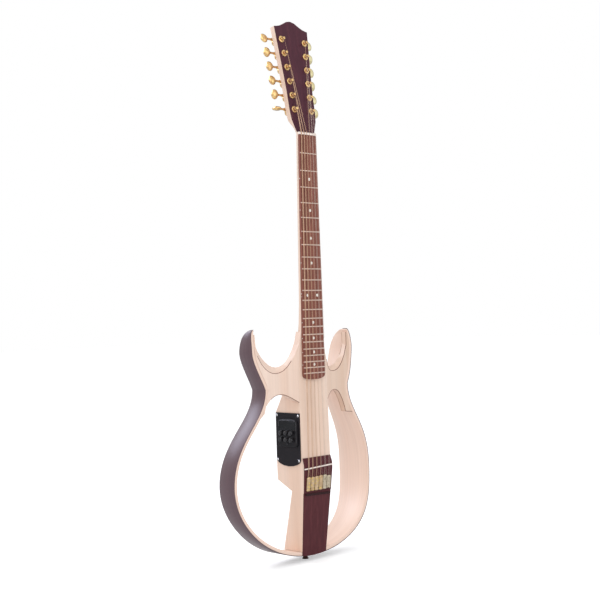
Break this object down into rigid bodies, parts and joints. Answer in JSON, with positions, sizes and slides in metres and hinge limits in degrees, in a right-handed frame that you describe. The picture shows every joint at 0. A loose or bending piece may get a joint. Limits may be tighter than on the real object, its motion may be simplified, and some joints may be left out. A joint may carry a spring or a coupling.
{
  "type": "silent guitar",
  "caption": "Electric silent guitar with an open frame body: a through beam, two pale bent rims, dark bridge and strip, gold tuners and a side preamp.",
  "frame": {"origin": "centre of the strap button's end face, below the middle of the tail", "axes": "+X towards the treble side, +Y towards the back, +Z along the neck towards the head"},
  "size_m": [0.38, 0.1199, 1.0676],
  "materials": {
    "maple": "satin, straight-grained laminated pale wood",
    "rim_maple": "satin pale wood with a dark red-brown outer skin",
    "rosewood": "open-grained dark red wood, oiled",
    "dark_wood": "very dark red-brown wood, satin",
    "bone": "polished cream bone",
    "gold": "gold plated, polished",
    "string_metal": "bronze wound and plain steel strings",
    "black_plastic": "matt black",
    "module_plastic": "satin black",
    "display_glass": "dark smoked window",
    "grey_plastic": "matt grey",
    "chrome": "polished",
    "strap_plastic": "dark brown, polished"
  },
  "bodies": {
    "instrument": {"neck_beam": "maple", "fingerboard": "rosewood", "nut": "bone", "head_veneer": "dark_wood", "bass_wing": "maple", "treble_wing": "maple", "bass_rim": "rim_maple", "treble_rim": "rim_maple", "tail_strip": "dark_wood", "bridge": "dark_wood", "saddle": "bone", "string_set": "string_metal", "preamp_plate": "black_plastic", "preamp_module": "module_plastic", "display_window": "display_glass", "output_jack": "chrome", "strap_button": "strap_plastic", "tuner_housing_bass_1": "gold", "tuner_housing_bass_2": "gold", "tuner_housing_bass_3": "gold", "tuner_housing_bass_4": "gold", "tuner_housing_bass_5": "gold", "tuner_housing_bass_6": "gold", "tuner_housing_treble_1": "gold", "tuner_housing_treble_2": "gold", "tuner_housing_treble_3": "gold", "tuner_housing_treble_4": "gold", "tuner_housing_treble_5": "gold", "tuner_housing_treble_6": "gold"},
    "key_bass_1": {"tuner_key_bass_1": "gold"},
    "post_bass_1": {"tuner_post_bass_1": "gold"},
    "key_bass_2": {"tuner_key_bass_2": "gold"},
    "post_bass_2": {"tuner_post_bass_2": "gold"},
    "key_bass_3": {"tuner_key_bass_3": "gold"},
    "post_bass_3": {"tuner_post_bass_3": "gold"},
    "key_bass_4": {"tuner_key_bass_4": "gold"},
    "post_bass_4": {"tuner_post_bass_4": "gold"},
    "key_bass_5": {"tuner_key_bass_5": "gold"},
    "post_bass_5": {"tuner_post_bass_5": "gold"},
    "key_bass_6": {"tuner_key_bass_6": "gold"},
    "post_bass_6": {"tuner_post_bass_6": "gold"},
    "key_treble_1": {"tuner_key_treble_1": "gold"},
    "post_treble_1": {"tuner_post_treble_1": "gold"},
    "key_treble_2": {"tuner_key_treble_2": "gold"},
    "post_treble_2": {"tuner_post_treble_2": "gold"},
    "key_treble_3": {"tuner_key_treble_3": "gold"},
    "post_treble_3": {"tuner_post_treble_3": "gold"},
    "key_treble_4": {"tuner_key_treble_4": "gold"},
    "post_treble_4": {"tuner_post_treble_4": "gold"},
    "key_treble_5": {"tuner_key_treble_5": "gold"},
    "post_treble_5": {"tuner_post_treble_5": "gold"},
    "key_treble_6": {"tuner_key_treble_6": "gold"},
    "post_treble_6": {"tuner_post_treble_6": "gold"},
    "control_1": {"knob_1": "module_plastic"},
    "control_2": {"knob_2": "module_plastic"},
    "control_3": {"knob_3": "module_plastic"},
    "control_4": {"knob_4": "module_plastic"},
    "control_5": {"knob_5": "module_plastic"},
    "control_6": {"knob_6": "module_plastic"},
    "tuner_switch": {"tuner_button": "grey_plastic"}
  },
  "joints": [
    {"name": "turn_key_bass_1", "type": "hinge", "parent": "instrument", "child": "key_bass_1", "pos_m": [-0.05355, -0.00946, 0.88779], "axis": [-1, 0, 0], "continuous": true},
    {"name": "turn_post_bass_1", "type": "hinge", "parent": "instrument", "child": "post_bass_1", "pos_m": [-0.02355, -0.0274, 0.88638], "axis": [0, -0.9877, 0.1564], "continuous": true},
    {"name": "turn_key_bass_2", "type": "hinge", "parent": "instrument", "child": "key_bass_2", "pos_m": [-0.05417, -0.005, 0.91594], "axis": [-1, 0, 0], "continuous": true},
    {"name": "turn_post_bass_2", "type": "hinge", "parent": "instrument", "child": "post_bass_2", "pos_m": [-0.02417, -0.02294, 0.91453], "axis": [0, -0.9877, 0.1564], "continuous": true},
    {"name": "turn_key_bass_3", "type": "hinge", "parent": "instrument", "child": "key_bass_3", "pos_m": [-0.05559, -0.00054, 0.94409], "axis": [-1, 0, 0], "continuous": true},
    {"name": "turn_post_bass_3", "type": "hinge", "parent": "instrument", "child": "post_bass_3", "pos_m": [-0.02559, -0.01848, 0.94268], "axis": [0, -0.9877, 0.1564], "continuous": true},
    {"name": "turn_key_bass_4", "type": "hinge", "parent": "instrument", "child": "key_bass_4", "pos_m": [-0.05756, 0.00392, 0.97224], "axis": [-1, 0, 0], "continuous": true},
    {"name": "turn_post_bass_4", "type": "hinge", "parent": "instrument", "child": "post_bass_4", "pos_m": [-0.02756, -0.01402, 0.97083], "axis": [0, -0.9877, 0.1564], "continuous": true},
    {"name": "turn_key_bass_5", "type": "hinge", "parent": "instrument", "child": "key_bass_5", "pos_m": [-0.05971, 0.00838, 1.00039], "axis": [-1, 0, 0], "continuous": true},
    {"name": "turn_post_bass_5", "type": "hinge", "parent": "instrument", "child": "post_bass_5", "pos_m": [-0.02971, -0.00957, 0.99897], "axis": [0, -0.9877, 0.1564], "continuous": true},
    {"name": "turn_key_bass_6", "type": "hinge", "parent": "instrument", "child": "key_bass_6", "pos_m": [-0.06203, 0.01283, 1.02853], "axis": [-1, 0, 0], "continuous": true},
    {"name": "turn_post_bass_6", "type": "hinge", "parent": "instrument", "child": "post_bass_6", "pos_m": [-0.03203, -0.00511, 1.02712], "axis": [0, -0.9877, 0.1564], "continuous": true},
    {"name": "turn_key_treble_1", "type": "hinge", "parent": "instrument", "child": "key_treble_1", "pos_m": [0.05355, -0.00946, 0.88779], "axis": [1, 0, 0], "continuous": true},
    {"name": "turn_post_treble_1", "type": "hinge", "parent": "instrument", "child": "post_treble_1", "pos_m": [0.02355, -0.0274, 0.88638], "axis": [0, -0.9877, 0.1564], "continuous": true},
    {"name": "turn_key_treble_2", "type": "hinge", "parent": "instrument", "child": "key_treble_2", "pos_m": [0.05417, -0.005, 0.91594], "axis": [1, 0, 0], "continuous": true},
    {"name": "turn_post_treble_2", "type": "hinge", "parent": "instrument", "child": "post_treble_2", "pos_m": [0.02417, -0.02294, 0.91453], "axis": [0, -0.9877, 0.1564], "continuous": true},
    {"name": "turn_key_treble_3", "type": "hinge", "parent": "instrument", "child": "key_treble_3", "pos_m": [0.05559, -0.00054, 0.94409], "axis": [1, 0, 0], "continuous": true},
    {"name": "turn_post_treble_3", "type": "hinge", "parent": "instrument", "child": "post_treble_3", "pos_m": [0.02559, -0.01848, 0.94268], "axis": [0, -0.9877, 0.1564], "continuous": true},
    {"name": "turn_key_treble_4", "type": "hinge", "parent": "instrument", "child": "key_treble_4", "pos_m": [0.05756, 0.00392, 0.97224], "axis": [1, 0, 0], "continuous": true},
    {"name": "turn_post_treble_4", "type": "hinge", "parent": "instrument", "child": "post_treble_4", "pos_m": [0.02756, -0.01402, 0.97083], "axis": [0, -0.9877, 0.1564], "continuous": true},
    {"name": "turn_key_treble_5", "type": "hinge", "parent": "instrument", "child": "key_treble_5", "pos_m": [0.05971, 0.00838, 1.00039], "axis": [1, 0, 0], "continuous": true},
    {"name": "turn_post_treble_5", "type": "hinge", "parent": "instrument", "child": "post_treble_5", "pos_m": [0.02971, -0.00957, 0.99897], "axis": [0, -0.9877, 0.1564], "continuous": true},
    {"name": "turn_key_treble_6", "type": "hinge", "parent": "instrument", "child": "key_treble_6", "pos_m": [0.06203, 0.01283, 1.02853], "axis": [1, 0, 0], "continuous": true},
    {"name": "turn_post_treble_6", "type": "hinge", "parent": "instrument", "child": "post_treble_6", "pos_m": [0.03203, -0.00511, 1.02712], "axis": [0, -0.9877, 0.1564], "continuous": true},
    {"name": "turn_knob_1", "type": "hinge", "parent": "instrument", "child": "control_1", "pos_m": [-0.04535, 0.0114, 0.253], "axis": [-1, 0, 0], "range_deg": [-150, 150]},
    {"name": "turn_knob_2", "type": "hinge", "parent": "instrument", "child": "control_2", "pos_m": [-0.04535, -0.003, 0.253], "axis": [-1, 0, 0], "range_deg": [-150, 150]},
    {"name": "turn_knob_3", "type": "hinge", "parent": "instrument", "child": "control_3", "pos_m": [-0.04535, -0.0174, 0.253], "axis": [-1, 0, 0], "range_deg": [-150, 150]},
    {"name": "turn_knob_4", "type": "hinge", "parent": "instrument", "child": "control_4", "pos_m": [-0.04535, 0.0114, 0.2402], "axis": [-1, 0, 0], "range_deg": [-150, 150]},
    {"name": "turn_knob_5", "type": "hinge", "parent": "instrument", "child": "control_5", "pos_m": [-0.04535, -0.003, 0.2402], "axis": [-1, 0, 0], "range_deg": [-150, 150]},
    {"name": "turn_knob_6", "type": "hinge", "parent": "instrument", "child": "control_6", "pos_m": [-0.04535, -0.0174, 0.2402], "axis": [-1, 0, 0], "range_deg": [-150, 150]},
    {"name": "press_tuner_button", "type": "slide", "parent": "instrument", "child": "tuner_switch", "axis": [1, 0, 0], "range_m": [0, 0.001], "stiffness_N_per_m": 250}
  ],
  "couplings": [
    {"joint": "turn_post_bass_1", "follows": "turn_key_bass_1", "ratio": 0.055556},
    {"joint": "turn_post_bass_2", "follows": "turn_key_bass_2", "ratio": 0.055556},
    {"joint": "turn_post_bass_3", "follows": "turn_key_bass_3", "ratio": 0.055556},
    {"joint": "turn_post_bass_4", "follows": "turn_key_bass_4", "ratio": 0.055556},
    {"joint": "turn_post_bass_5", "follows": "turn_key_bass_5", "ratio": 0.055556},
    {"joint": "turn_post_bass_6", "follows": "turn_key_bass_6", "ratio": 0.055556},
    {"joint": "turn_post_treble_1", "follows": "turn_key_treble_1", "ratio": 0.055556},
    {"joint": "turn_post_treble_2", "follows": "turn_key_treble_2", "ratio": 0.055556},
    {"joint": "turn_post_treble_3", "follows": "turn_key_treble_3", "ratio": 0.055556},
    {"joint": "turn_post_treble_4", "follows": "turn_key_treble_4", "ratio": 0.055556},
    {"joint": "turn_post_treble_5", "follows": "turn_key_treble_5", "ratio": 0.055556},
    {"joint": "turn_post_treble_6", "follows": "turn_key_treble_6", "ratio": 0.055556}
  ]
}
